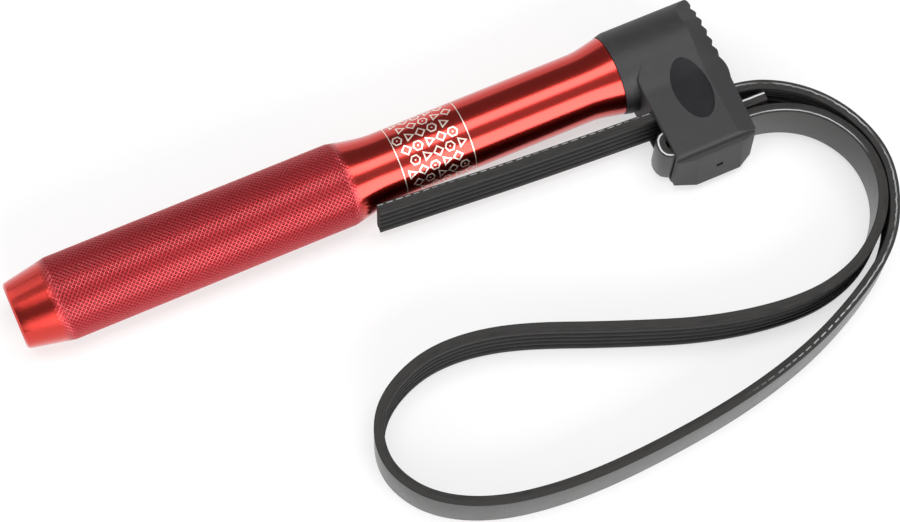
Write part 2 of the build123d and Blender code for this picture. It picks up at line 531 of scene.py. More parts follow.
@dataclass(frozen=True)
class BeltRubber(Finish):
    """Rubber of the belt. It is smoother on the back than on the ribs and at the cut edges."""

    name: str = "belt_ribs"
    base: Colour = (0.010, 0.009, 0.009)
    dusty: Colour = (0.026, 0.025, 0.024)
    roughness: float = 0.62
    streaks: float = 0.5
    grain_depth: float = 0.05 * MM
    gloss: float = 0.25
    stretch: float = 0.12
    lines_per_metre: float = 1500.0
    grain_per_metre: float = 3800.0
    clouds_per_metre: float = 130.0

    def write(self, shading: Shading) -> None:
        """Writes the rubber's nodes.

        Args:
            shading: The empty tree.
        """
        along = shading.stored("along")
        at = shading.vector(along * self.stretch, shading.stored("across"), shading.axis("Z"))
        lines = shading.noise(at, self.lines_per_metre, 3.0)
        fine = shading.noise(shading.place(), self.grain_per_metre, 3.0)
        cloud = shading.noise(shading.place(), self.clouds_per_metre, 4.0)
        dust = (lines.rising((0.35, 0.75)) * self.streaks + (cloud - 0.4) * 0.9).clipped()
        rubber = shading.shader(
            {
                "Base Color": shading.mixed(dust, self.base, self.dusty),
                "Roughness": self.roughness + (cloud - 0.5) * 0.16 + (fine - 0.5) * 0.12,
                "Specular IOR Level": self.gloss,
                "Normal": shading.relief(fine * 0.6 + lines * 0.6, self.grain_depth, 0.6),
            }
        )
        shading.surface(rubber)


@dataclass(frozen=True)
class CordAndSheenLine(Finish):
    """White tensile cord in the belt's cut edge: dashes on the tail, a wavy line in the bends, and
    on the fold a line that is partly cord and partly a painted highlight.

    The spans are lengths along the belt in metres, over which the cord changes.
    """

    name: str = "belt_cord_and_curl_sheen"
    cord: Colour = (0.56, 0.57, 0.58)
    rubber: Colour = (0.030, 0.029, 0.028)
    dash: float = 3.4 * MM
    shown: float = 0.60
    depth: float = 0.80 * MM
    back: float = 1.75 * MM
    half: float = 0.15 * MM
    soft: float = 0.07 * MM
    tail_ends: Flat = (0.105, 0.125)
    outer_begins: Flat = (0.120, 0.140)
    outer_ends: Flat = (0.60, 0.64)
    bend_begins: Flat = (0.120, 0.135)
    bend_ends: Flat = (0.236, 0.262)
    cord_sinks: Flat = (0.245, 0.305)
    inner_begins: Flat = (0.676, 0.694)
    # Where the fold begins. From there the white line also paints the highlight of the edge's
    # rounding.
    curl_sheen_begins: Flat = (0.735, 0.745)
    tail_shift: float = 0.25 * MM
    outer_shift: float = -0.50 * MM
    wander: float = 0.3 * MM
    bend_wander: float = 0.8 * MM
    bend_gain: float = 0.05 * MM
    # How much the line widens on the fold, for its painted highlight.
    curl_sheen_gain: float = 0.10 * MM
    tail_gain: float = -0.04 * MM
    uneven: float = 0.12 * MM
    dash_edge: float = 0.08
    drifts_per_metre: float = 60.0
    twists_per_metre: float = 380.0
    grain_per_metre: float = 3800.0
    grain_depth: float = 0.1 * MM
    roughness: float = 0.75
    gloss: float = 0.25

    def write(self, shading: Shading) -> None:
        """Writes the cord's nodes.

        Args:
            shading: The empty tree.
        """
        along = shading.stored("along")
        across = shading.stored("across")
        drift = shading.noise(shading.vector(along, 0.0, 0.0), self.drifts_per_metre, 3.0)
        twist = shading.noise(shading.vector(along, 0.3, 0.0), self.twists_per_metre, 2.0)
        fine = shading.noise(shading.place(), self.grain_per_metre, 3.0)
        bend = along.rising(self.bend_begins) * along.falling(self.bend_ends)
        inner = along.rising(self.inner_begins)
        # On the fold the line is widened and never broken or faint: real cord with a painted
        # highlight of the edge's rounding over it.
        curl_sheen = along.rising(self.curl_sheen_begins)
        tail = along.falling(self.tail_ends)
        outer = along.rising(self.outer_begins) * along.falling(self.outer_ends)
        middle = tail * self.tail_shift + outer * self.outer_shift + (self.back - self.depth)
        middle = middle + (twist - 0.5) * (bend * self.bend_wander + self.wander)
        half = bend * self.bend_gain + curl_sheen * self.curl_sheen_gain + tail * self.tail_gain
        half = half + self.half + (drift - 0.5) * self.uneven
        off = ((abs(across - middle) - half) / self.soft).clipped()
        place = (along / self.dash + drift * 2.2).fraction()
        gap = place.rising((self.shown - self.dash_edge, self.shown + self.dash_edge))
        buried = along.rising(self.cord_sinks) * (1 - inner)
        faint = drift.scaled(0.40, 0.62, 0.0, 0.6) + (twist - 0.5) * 0.5
        faint = faint + bend * 0.35 + tail * 0.30
        broken = gap * (1 - (bend + inner).clipped())
        smear = broken.larger(buried).larger(faint * (1 - curl_sheen)).larger(off).clipped()
        edge = shading.shader(
            {
                "Base Color": shading.mixed(smear, self.cord, self.rubber),
                "Roughness": self.roughness,
                "Specular IOR Level": self.gloss,
                "Normal": shading.relief(fine * 0.6 + (1 - smear) * 0.6, self.grain_depth, 0.6),
            }
        )
        shading.surface(edge)


@dataclass(frozen=True)
class PlainMetal(Finish):
    """A bare or plated metal with fine machining lines round its own axis."""

    name: str = "plain_metal"
    colour: Colour = (0.6, 0.6, 0.6)
    roughness: float = 0.3
    lines_per_metre: float = 3000.0
    lines_depth: float = 0.01 * MM
    clouds_per_metre: float = 200.0

    def write(self, shading: Shading) -> None:
        """Writes the metal's nodes.

        Args:
            shading: The empty tree.
        """
        at = shading.vector(shading.axis("X"), 0.0, 0.0)
        lines = shading.noise(at, self.lines_per_metre, 2.0)
        cloud = shading.noise(shading.place(), self.clouds_per_metre, 3.0)
        darker = tuple(channel * 0.7 for channel in self.colour)
        metal = shading.shader(
            {
                "Base Color": shading.mixed(cloud, self.colour, darker),
                "Metallic": 1.0,
                "Roughness": self.roughness + (lines - 0.5) * 0.15,
                "Normal": shading.relief(lines, self.lines_depth, 0.5),
            }
        )
        shading.surface(metal)


@dataclass
class Shape:
    """Vertices and faces of one piece while it is built, in the tool's frame."""

    name: str
    points: list[Vector] = field(default_factory=list)
    faces: list[Sequence[int]] = field(default_factory=list)
    smooth: list[bool] = field(default_factory=list)
    slots: list[int] = field(default_factory=list)
    stored: dict[str, dict[int, float]] = field(default_factory=dict)

    def point(self, position: Iterable[float], **stored: float) -> int:
        """Adds a vertex.

        Args:
            position: Where it is.
            stored: Numbers that the mesh stores there.

        Returns:
            Its number.
        """
        index = len(self.points)
        self.points.append(Vector(position))
        for name, value in stored.items():
            self.stored.setdefault(name, {})[index] = value
        return index

    def face(self, corners: Sequence[int], smooth: bool = True, slot: int = 0) -> None:
        """Adds a face.

        Args:
            corners: Its vertices in order.
            smooth: Whether light runs smoothly over its edges.
            slot: Number of its material.
        """
        self.faces.append(corners)
        self.smooth.append(smooth)
        self.slots.append(slot)

    def bridge(
        self, first: Sequence[int], second: Sequence[int], slots: Sequence[int] = ()
    ) -> None:
        """Joins two closed rings of the same number of vertices.

        Args:
            first: The one ring.
            second: The other ring.
            slots: Material of each strip between neighbouring vertices.
        """
        for index in range(len(first)):
            after = (index + 1) % len(first)
            slot = slots[index] if slots else 0
            self.face(
                (first[index], first[after], second[after], second[index]), True, slot
            )

    def tube(
        self,
        rings: Sequence[Sequence[int]],
        slots: Sequence[int] = (),
        smooth_ends: bool = True,
        end_slot: int = 0,
    ) -> None:
        """Joins rings one after another and closes both ends.

        Args:
            rings: The rings, all of the same number of vertices.
            slots: Material of each strip between neighbouring vertices.
            smooth_ends: Whether light runs smoothly over the edges of the ends.
            end_slot: Number of the ends' material.
        """
        for before, after in zip(rings, rings[1:]):
            self.bridge(before, after, slots)
        self.face(rings[0], smooth_ends, end_slot)
        self.face(rings[-1], smooth_ends, end_slot)

    def made(self, finishes: Sequence[Finish], crease: float = 40.0) -> bpy.types.Object:
        """Makes the object, in the row frame.

        Args:
            finishes: Its materials, in the order of the slots.
            crease: Angle in degrees above which an edge stays sharp.

        Returns:
            The object.
        """
        mesh = bpy.data.meshes.new(self.name)
        mesh.from_pydata([tuple(p) for p in self.points], [], self.faces)
        mesh.polygons.foreach_set("material_index", self.slots)
        for name, values in self.stored.items():
            layer = mesh.attributes.new(name, "FLOAT", "POINT")
            layer.data.foreach_set("value", [values.get(i, 0.0) for i in range(len(self.points))])
        for finish in finishes:
            mesh.materials.append(finish.material())
        work = bmesh.new()
        work.from_mesh(mesh)
        bmesh.ops.recalc_face_normals(work, faces=work.faces)
        work.to_mesh(mesh)
        work.free()
        mesh.polygons.foreach_set("use_smooth", self.smooth)
        mesh.set_sharp_from_angle(angle=math.radians(crease))
        mesh.transform(SEAT.matrix())
        mesh.update()
        obj = bpy.data.objects.new(self.name, mesh)
        bpy.context.scene.collection.objects.link(obj)
        return obj


def settle(
    obj: bpy.types.Object, body: Body, replaced: Sequence[str] = ()
) -> bpy.types.Object:
    """Lets a piece ride on a body.

    Args:
        obj: The piece.
        body: The body that carries it.
        replaced: CAD nodes that it stands for.

    Returns:
        The piece.
    """
    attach(obj, body.value)
    if replaced:
        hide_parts(*replaced)
    return obj


def eased(start: float, end: float, slope_in: float, slope_out: float, share: float) -> float:
    """A smooth curve from start to end with given slopes at both ends.

    Args:
        start: Value at share 0.
        end: Value at share 1.
        slope_in: Slope at share 0, for the whole run.
        slope_out: Slope at share 1, for the whole run.
        share: Place along the run.

    Returns:
        The value there.
    """
    square = share * share
    cube = square * share
    return (
        start * (2 * cube - 3 * square + 1)
        + slope_in * (cube - 2 * square + share)
        + end * (3 * square - 2 * cube)
        + slope_out * (cube - square)
    )


@dataclass(frozen=True)
class Knurl:
    """Diamond knurl: four-sided pits between two families of crossing ridges.

    The floor and the brow of a pit are shares of the way from its middle to the ridges.
    """

    around: int = 52
    diagonal: float = 1.665 * MM
    depth: float = 0.32 * MM
    floor: float = 0.20
    brow: float = 0.88
    run_out: float = 3.8 * MM
    bare_below: float = 0.08
    tint_gain: float = 1.6

    @property
    def row(self) -> float:
        """Distance between two rows of ridge crossings."""
        return self.diagonal / 2


@dataclass
class Handle:
    """Turned handle: butt cone, knurled grip, neck, waist, flare, shoulder and spigot."""

    finish: Finish
    knurl: Knurl = Knurl()
    grip_radius: float = 15.0 * MM
    grip_length: float = 103.5 * MM
    butt_radius: float = 12.0 * MM
    butt_cone_length: float = 16.5 * MM
    butt_chamfer: float = 1.0 * MM
    waist_radius: float = 12.5 * MM
    waist_length: float = 74.5 * MM
    neck_length: float = 17.0 * MM
    neck_slope: float = -0.20
    shoulder_radius: float = 14.4 * MM
    shoulder_slope: float = 0.18
    flare_length: float = 12.0 * MM
    spigot_radius: float = 11.5 * MM
    spigot_end: float = 21.7 * MM
    bore_radius: float = 5.05 * MM
    spigot_chamfer: float = 0.5 * MM
    bore_end: float = -9.3 * MM
    bore_tip: float = 0.3
    shoulder_chamfer: Flat = (0.25 * MM, 0.2 * MM)
    cone_runs: int = 11
    neck_step: float = 0.8 * MM
    butt_rim: tuple[Flat, ...] = ((1.15, 0.0), (0.75, 0.10), (0.15, 0.75), (0.0, 1.2))
    butt_face: tuple[float, ...] = (0.6, 0.12)
    crease: float = 28.0

    @property
    def neck_start(self) -> float:
        """Where the grip ends."""
        return -self.flare_length - self.waist_length - self.neck_length

    @property
    def grip_start(self) -> float:
        """Where the grip begins, next to the cone."""
        return self.neck_start - self.grip_length

    @property
    def butt(self) -> float:
        """The handle's free end."""
        return self.grip_start - self.butt_cone_length

    def radius(self, x: float) -> float:
        """Radius of the turned bar before it is knurled, from the chamfer to the shoulder.

        Args:
            x: Place along the axis.

        Returns:
            The radius there.
        """
        if x < self.grip_start:
            cone_start = self.butt + self.butt_chamfer
            share = (x - cone_start) / (self.grip_start - cone_start)
            return self.butt_radius + (self.grip_radius - self.butt_radius) * share
        if x < self.neck_start:
            return self.grip_radius
        if x < self.neck_start + self.neck_length:
            share = (x - self.neck_start) / self.neck_length
            slope = self.neck_slope * self.neck_length
            return eased(self.grip_radius, self.waist_radius, slope, 0.0, share)
        if x < -self.flare_length:
            return self.waist_radius
        share = (x + self.flare_length) / self.flare_length
        slope = self.shoulder_slope * self.flare_length
        return eased(self.waist_radius, self.shoulder_radius, 0.0, slope, share)

    def turned_ring(self, shape: Shape, x: float, radius: float, shift: float) -> list[int]:
        """Adds one ring of the turned surface.

        Args:
            shape: The piece.
            x: Place along the axis.
            radius: The ring's radius.
            shift: Turn of the ring, in steps of half a diamond.

        Returns:
            Its vertices.
        """
        around = self.knurl.around
        angles = [(index + shift) * math.pi / around for index in range(2 * around)]
        return [
            shape.point(
                (x, radius * math.cos(angle), radius * math.sin(angle)), depth=0.0, worked=0.0
            )
            for angle in angles
        ]

    def join(self, shape: Shape, crossings: Sequence[int], turned: Sequence[int]) -> None:
        """Joins the knurl's last row of ridge crossings to a ring with twice as many vertices.

        Args:
            shape: The piece.
            crossings: The row's vertices.
            turned: The ring's vertices.
        """
        for index, crossing in enumerate(crossings):
            after = crossings[(index + 1) % len(crossings)]
            middle = turned[2 * index + 1]
            shape.face((crossing, turned[2 * index], middle))
            shape.face((crossing, middle, after))
            shape.face((after, middle, turned[(2 * index + 2) % len(turned)]))

    def worked(self, x: float) -> float:
        """Share of the knurl's depth that is cut at a place: 1 on the grip, 0 on the bare bar."""
        past = max(self.grip_start - x, x - self.neck_start)
        return min(1.0, max(0.0, 1.0 - past / self.knurl.run_out))

    def knurl_point(self, shape: Shape, x: float, turn: float, lift: float) -> int:
        """Adds one vertex of the knurl, or of the bare bar where the knurl runs out.

        Args:
            shape: The piece.
            x: Place along the axis.
            turn: Angle in steps of half a diamond.
            lift: 0 on the floor of a pit, 1 on the ridges.

        Returns:
            Its number.
        """
        angle = turn * math.pi / self.knurl.around
        share = self.worked(x)
        radius = self.radius(x) - self.knurl.depth * share * (1 - lift)
        # depth is 1 on a pit's floor, and the metal paints its shade from it.
        return shape.point(
            (x, radius * math.cos(angle), radius * math.sin(angle)),
            depth=share * (1 - lift),
            worked=min(1.0, self.knurl.tint_gain * share),
        )

    def add_knurl(self, shape: Shape) -> tuple[list[int], list[int], float, float, int]:
        """Adds the knurl from the cone to the neck, run-outs included.

        Args:
            shape: The piece.

        Returns:
            The first and last row, their places along the axis, and the last row's turn.
        """
        knurl = self.knurl
        start = self.grip_start - knurl.run_out
        rows = round((self.neck_start + knurl.run_out - start) / knurl.row)
        crossings: list[list[int]] = []
        for row in range(rows + 1):
            x = start + row * knurl.row
            turns = [2 * i + row % 2 for i in range(knurl.around)]
            crossings.append([self.knurl_point(shape, x, turn, 1.0) for turn in turns])
        for row in range(rows + 1):
            x = start + row * knurl.row
            odd = row % 2
            for i in range(knurl.around):
                after = (i + 1) % knurl.around
                beside = after if odd else i
                low, high = crossings[row][i], crossings[row][after]
                if row == 0:
                    shape.face((low, crossings[1][beside], high))
                    continue
                if row == rows:
                    shape.face((low, high, crossings[row - 1][beside]))
                    continue
                back, ahead = crossings[row - 1][beside], crossings[row + 1][beside]
                self.add_pit(shape, x, 2 * i + odd + 1, [back, high, ahead, low])
        return crossings[0], crossings[-1], start, start + rows * knurl.row, rows % 2

    def add_pit(self, shape: Shape, x: float, turn: float, rim: list[int]) -> None:
        """Adds one pit of the knurl inside the four crossings round it.

        Args:
            shape: The piece.
            x: Middle of the pit along the axis.
            turn: Its middle round the bar, in steps of half a diamond.
            rim: The crossings round it.
        """
        knurl = self.knurl
        smooth = self.worked(x) < knurl.bare_below
        for reach, lift in ((knurl.brow, 1.0), (knurl.floor, 0.0)):
            ring = [
                self.knurl_point(shape, x - reach * knurl.row, turn, lift),
                self.knurl_point(shape, x, turn + reach, lift),
                self.knurl_point(shape, x + reach * knurl.row, turn, lift),
                self.knurl_point(shape, x, turn - reach, lift),
            ]
            for side in range(4):
                last = (side + 1) % 4
                shape.face((rim[side], rim[last], ring[last], ring[side]), smooth)
            rim = ring
        shape.face(rim, smooth)

    def add_turned(
        self, shape: Shape, crossings: Sequence[int], profile: Sequence[Flat], shift: float
    ) -> None:
        """Adds the turned surface from the knurl's last row on, and closes its end.

        Args:
            shape: The piece.
            crossings: The row's vertices.
            profile: Place along the axis and radius of each ring.
            shift: Turn of the rings, in steps of half a diamond.
        """
        ring: list[int] = []
        for x, radius in profile:
            new = self.turned_ring(shape, x, radius, shift)
            if ring:
                shape.bridge(ring, new)
            else:
                self.join(shape, crossings, new)
            ring = new
        shape.face(ring)

    def butt_profile(self, start: float) -> list[Flat]:
        """The turned profile from the knurl over the cone to the middle of the butt's face.

        Args:
            start: Where the knurl ends on the cone.

        Returns:
            Place along the axis and radius of each ring.
        """
        chamfer = self.butt_chamfer
        end = self.butt + chamfer * self.butt_rim[0][0]
        places = [start + (end - start) * run / self.cone_runs for run in range(1, self.cone_runs)]
        profile = [(x, self.radius(x)) for x in places]
        for ahead, inward in self.butt_rim:
            profile.append((self.butt + chamfer * ahead, self.butt_radius - chamfer * inward))
        return profile + [(self.butt, self.butt_radius * share) for share in self.butt_face]

    def neck_profile(self, start: float) -> list[Flat]:
        """The turned profile from the knurl over neck, waist, flare and spigot into the bore.

        Args:
            start: Where the knurl ends on the neck.

        Returns:
            Place along the axis and radius of each ring.
        """
        edge, step_in = self.shoulder_chamfer
        count = round(-start / self.neck_step)
        places = [start + (-edge - start) * run / count for run in range(1, count + 1)]
        return [(x, self.radius(x)) for x in places] + [
            (0.0, self.shoulder_radius - step_in),
            (0.0, self.spigot_radius),
            (self.spigot_end - self.spigot_chamfer, self.spigot_radius),
            (self.spigot_end, self.spigot_radius - self.spigot_chamfer),
            (self.spigot_end, self.bore_radius),
            (self.bore_end, self.bore_radius),
            (self.bore_end, self.bore_radius * self.bore_tip),
        ]

    def build(self) -> bpy.types.Object:
        """Builds and dresses the handle.

        Returns:
            The piece.
        """
        shape = Shape("handle_turned")
        first, last, first_x, last_x, shift = self.add_knurl(shape)
        self.add_turned(shape, first, self.butt_profile(first_x), 0.0)
        self.add_turned(shape, last, self.neck_profile(last_x), shift)
        obj = shape.made([self.finish], crease=self.crease)
        return settle(obj, Body.TOOL, ["handle_bar"])


@dataclass
class WaistPrint:
    """Marked band round the waist: two thin lines with rows of plain shapes between them."""

    finish: Finish
    radius: float = 12.5 * MM
    start: float = -83.3 * MM
    end: float = -57.2 * MM
    line: float = 0.32 * MM
    stroke: float = 0.50 * MM
    rows: int = 18
    columns: int = 6
    size: float = 1.72 * MM
    slant: float = 0.38
    piece: float = 0.6 * MM
    sunk: float = 0.05 * MM
    proud: float = 0.025 * MM
    ring_corners: int = 96
    dot_share: float = 0.16
    margin_lines: float = 1.4

    def wrap(self, x: float, arc: float, lift: float) -> Point:
        """Lays a point of the flat drawing on the waist.

        Args:
            x: Place along the axis.
            arc: Place round the waist.
            lift: Height above the waist.

        Returns:
            The point.
        """
        angle = arc / self.radius
        radius = self.radius + lift
        return (x, radius * math.cos(angle), radius * math.sin(angle))

    def add_stroke(self, shape: Shape, line: Sequence[Flat], width: float, closed: bool) -> None:
        """Adds one stroke of the marking as a thin solid.

        Args:
            shape: The piece.
            line: Middle line of the stroke, as places along the axis and round the waist.
            width: Width of the stroke.
            closed: Whether the line closes on itself.
        """
        line = self.divided(line, closed)
        count = len(line)
        rings = []
        for index in range(count):
            here = Vector(line[index])
            before = (here - Vector(line[index - 1])).normalized()
            after = (Vector(line[(index + 1) % count]) - here).normalized()
            if not closed and index == 0:
                before = after
            if not closed and index == count - 1:
                after = before
            along = (before + after).normalized()
            side = Vector((-along.y, along.x)) * width / 2 / max(0.5, along.dot(after))
            left, right = here + side, here - side
            rings.append(
                [
                    shape.point(self.wrap(*left, -self.sunk)),
                    shape.point(self.wrap(*left, self.proud)),
                    shape.point(self.wrap(*right, self.proud)),
                    shape.point(self.wrap(*right, -self.sunk)),
                ]
            )
        if closed:
            for ring, after in zip(rings, rings[1:] + rings[:1]):
                shape.bridge(ring, after)
        else:
            shape.tube(rings)

    def divided(self, line: Sequence[Flat], closed: bool) -> list[Flat]:
        """Cuts a line's straight runs into short pieces, so that they follow the round waist.

        Args:
            line: The line's corners.
            closed: Whether the line closes on itself.

        Returns:
            The points of the short pieces.
        """
        points: list[Flat] = []
        count = len(line)
        for index in range(count if closed else count - 1):
            here, after = Vector(line[index]), Vector(line[(index + 1) % count])
            parts = max(1, math.ceil((after - here).length / self.piece))
            points.extend(tuple(here.lerp(after, k / parts)) for k in range(parts))
        if not closed:
            points.append(line[-1])
        return points

    def motif(self, kind: int, x: float, arc: float, size: float) -> list[tuple[list[Flat], bool]]:
        """Strokes of one plain motif.

        Args:
            kind: 0 for a diamond, 1 for a hexagon round a dot, 2 for a triangle.
            x: Its middle along the axis.
            arc: Its middle round the waist.
            size: Half its size.

        Returns:
            Its lines, each with whether it is closed.
        """
        sides = (4, 6, 3)[kind]
        ring = [
            (x + size * math.cos(a), arc + size * math.sin(a))
            for a in (k * 2 * math.pi / sides for k in range(sides))
        ]
        strokes = [(ring, True)]
        if kind == 1:
            dot = size * self.dot_share
            strokes.append(([(x - dot, arc), (x, arc), (x + dot, arc)], False))
        return strokes

    def build(self) -> bpy.types.Object:
        """Builds and dresses the print.

        Returns:
            The piece.
        """
        shape = Shape("waist_print")
        turn = 2 * math.pi * self.radius
        for x in (self.start, self.end):
            ring = [(x, turn * k / self.ring_corners) for k in range(self.ring_corners)]
            self.add_stroke(shape, ring, self.line, True)
        pitch = (self.end - self.start) / self.columns
        row_pitch = turn / self.rows
        margin = self.size + self.line * self.margin_lines
        for row in range(self.rows):
            shift = (row * self.slant) % 1.0
            for column in range(-1, self.columns + 1):
                x = self.start + (column + shift) * pitch
                if not self.start + margin < x < self.end - margin:
                    continue
                kind = (column + row * 2 + row // 2) % 3
                for line, closed in self.motif(kind, x, row * row_pitch, self.size):
                    self.add_stroke(shape, line, self.stroke, closed)
        return settle(shape.made([self.finish]), Body.TOOL)


@dataclass(frozen=True)
class BeltSection:
    """Section of the ribbed belt: x across its thickness, back at +, and z across its width."""

    ribs: int = 5
    pitch: float = 3.56 * MM
    tip: float = 1.3 * MM
    height: float = 2.0 * MM
    flank: float = math.radians(20.0)
    thickness: float = 3.5 * MM
    back_round: float = 0.28 * MM
    edge_round: float = 0.25 * MM
    tip_round: float = 0.34 * MM
    foot_round: float = 0.12 * MM
    cord_depth: float = 1.05 * MM
    cord_width: float = 1.4 * MM

    @property
    def back(self) -> float:
        """Distance of the back from the middle line."""
        return self.thickness / 2

    @property
    def half_width(self) -> float:
        """Half of the belt's width."""
        return self.ribs * self.pitch / 2

    def rounded(self, corners: Sequence[tuple[Flat, float, Zone]]) -> list[tuple[Flat, Zone]]:
        """Rounds the corners of a closed outline.

        Args:
            corners: Each corner, the length that its rounding takes off its sides, and the
                zone of the side after it.

        Returns:
            The outline's points, each with the zone of the side after it.
        """
        points = []
        for index, (corner, cut, zone) in enumerate(corners):
            here = Vector(corner)
            if cut == 0:
                points.append((corner, zone))
                continue
            before = (Vector(corners[index - 1][0]) - here).normalized() * cut
            after = (Vector(corners[(index + 1) % len(corners)][0]) - here).normalized() * cut
            for share in (0.0, 0.33, 0.67, 1.0):
                p = here + before * (1 - share) ** 2 + after * share**2
                points.append(((p.x, p.y), zone))
        return points

    def outline(self) -> list[tuple[Flat, Zone]]:
        """The closed outline.

        Returns:
            Its points, each with the zone of the side after it.
        """
        floor = self.height - self.back
        half_foot = self.tip / 2 + self.height * math.tan(self.flank)
        near = self.back - self.cord_depth - self.cord_width / 2
        far = near + self.cord_width
        edge = self.half_width
        corners: list[tuple[Flat, float, Zone]] = [
            ((self.back, -edge), self.back_round, Zone.BACK),
            ((self.back, edge), self.back_round, Zone.EDGE),
            ((far, edge), 0.0, Zone.CORD),
            ((near, edge), 0.0, Zone.EDGE),
            ((-self.back, edge), self.edge_round, Zone.RIBS),
        ]
        half_tip = self.tip / 2
        for index in range(self.ribs):
            middle = edge - (index + 0.5) * self.pitch
            if index > 0:
                corners.append(((floor, middle + half_foot), self.foot_round, Zone.RIBS))
                corners.append(((-self.back, middle + half_tip), self.tip_round, Zone.RIBS))
            if index < self.ribs - 1:
                corners.append(((-self.back, middle - half_tip), self.tip_round, Zone.RIBS))
                corners.append(((floor, middle - half_foot), self.foot_round, Zone.RIBS))
        corners.append(((-self.back, -edge), self.edge_round, Zone.EDGE))
        corners.append(((near, -edge), 0.0, Zone.CORD))
        corners.append(((far, -edge), 0.0, Zone.EDGE))
        return self.rounded(corners)


@dataclass(frozen=True)
class Station:
    """One place along the belt's middle line."""

    at: Vector
    ahead: Vector
    along: float

    @property
    def left(self) -> Vector:
        """The way to the belt's back."""
        return Vector((-self.ahead.y, self.ahead.x, 0.0))


@dataclass
class Belt:
    """The strap: one ribbed belt from its free tail through the head, round the loop and back."""

    rib_finish: Finish
    back_finish: Finish
    edge_finish: Finish
    cord_and_sheen_finish: Finish
    section: BeltSection = BeltSection()
    route: tuple[Flat, ...] = (
        (-96.4, -17.0), (-68.0, -19.15), (-40.0, -21.2), (8.0, -23.7), (37.8, -24.8), (51.4, -30.5),
        (62.4, -40.2), (69.8, -53.1), (72.9, -68.4), (69.0, -83.7), (59.4, -98.6), (43.2, -109.7),
        (17.4, -121.3), (-14.0, -128.7), (-52.0, -132.3), (-80.0, -132.0), (-103.8, -127.6),
        (-121.1, -118.0), (-129.8, -104.7), (-129.8, -91.7), (-122.6, -79.9), (-107.0, -72.1),
        (-90.0, -71.1), (-70.0, -75.6), (-40.0, -88.5), (-8.0, -100.7), (22.0, -105.7),
        (42.0, -102.6), (56.2, -93.9), (65.2, -82.6), (68.5, -70.1), (66.9, -57.8), (59.8, -46.0),
        (48.8, -38.5), (35.0, -35.4), (16.0, -37.9), (7.5, -39.3), (2.7, -38.4), (2.7, -32.4),
        (7.5, -31.3), (16.0, -31.55), (44.4, -32.2),
    )
    step: float = 1.3 * MM
    hidden_at: float = 29.7 * MM
    mouth_left: float = 4.0 * MM
    mouth_right: float = 36.6 * MM
    end_length: float = 7.0 * MM
    fold_from: float = -50.0 * MM
    draw: float = 120.0 * MM
    least_share: float = 0.3
    halvings: int = 40
    cords: int = 16
    cord_corners: int = 8
    cord_radius: float = 0.26 * MM
    cord_rings: tuple[Flat, ...] = ((-0.2 * MM, 1.0), (0.10 * MM, 1.0), (0.18 * MM, 0.6))
    crease: float = 50.0

    def line(self) -> list[Vector]:
        """The smooth middle line, read from a curve through the route.

        Returns:
            Its points, close together.
        """
        curve = bpy.data.curves.new("belt_line", "CURVE")
        curve.dimensions = "3D"
        curve.resolution_u = 24
        spline = curve.splines.new("NURBS")
        spline.points.add(len(self.route) - 1)
        for point, (x, y) in zip(spline.points, self.route):
            point.co = (x * MM, y * MM, 0.0, 1.0)
        spline.order_u = 3
        spline.use_endpoint_u = True
        holder = bpy.data.objects.new("belt_line", curve)
        bpy.context.scene.collection.objects.link(holder)
        mesh = bpy.data.meshes.new_from_object(holder)
        points = [vertex.co.copy() for vertex in mesh.vertices]
        bpy.data.objects.remove(holder)
        bpy.data.curves.remove(curve)
        bpy.data.meshes.remove(mesh)
        return points

    def stations(self) -> list[Station]:
        """Evenly spaced places along the middle line.

        Returns:
            The stations from the tail's end to the tip.
        """
        points = self.line()
        lengths = [0.0]
        for before, after in zip(points, points[1:]):
            lengths.append(lengths[-1] + (after - before).length)
        count = round(lengths[-1] / self.step)
        made = []
        index = 0
        for number in range(count + 1):
            along = lengths[-1] * number / count
            while index < len(lengths) - 2 and lengths[index + 1] < along:
                index += 1
            share = (along - lengths[index]) / (lengths[index + 1] - lengths[index])
            at = points[index].lerp(points[index + 1], share)
            before, after = points[max(index - 1, 0)], points[min(index + 2, len(points) - 1)]
            made.append(Station(at, (after - before).normalized(), along))
        return made

    def add_run(self, shape: Shape, run: Sequence[Station]) -> None:
        """Sweeps the section along some stations.

        Args:
            shape: The piece.
            run: The stations.
        """
        outline = self.section.outline()
        zones = [int(zone) for _, zone in outline]
        rings = []
        for station in run:
            ring = []
            for (x, z), _ in outline:
                at = station.at + station.left * x + Vector((0.0, 0.0, z))
                ring.append(shape.point(at, along=station.along, across=x))
            rings.append(ring)
        shape.tube(rings, zones, False, Zone.EDGE)

    def add_cord_ends(self, shape: Shape, end: Station, outward: int) -> None:
        """Adds the cut ends of the cords, which stand a little out of a cut end.

        Args:
            shape: The piece.
            end: The belt's end.
            outward: 1 where the belt ends ahead of the station, -1 where it ends behind it.
        """
        up = Vector((0.0, 0.0, 1.0))
        depth = self.section.back - self.section.cord_depth
        zones = [int(Zone.CORD)] * self.cord_corners
        turns = [2 * math.pi * k / self.cord_corners for k in range(self.cord_corners)]
        sides = [end.left * math.cos(turn) + up * math.sin(turn) for turn in turns]
        for index in range(self.cords):
            height = (index + 0.5) / self.cords * 2 - 1
            middle = end.at + end.left * depth + up * height * self.section.half_width
            rings = []
            for reach, size in self.cord_rings:
                base = middle + end.ahead * outward * reach
                corners = [base + side * self.cord_radius * size for side in sides]
                rings.append([shape.point(at, along=end.along, across=0.0) for at in corners])
            shape.tube(rings, zones, True, Zone.CORD)

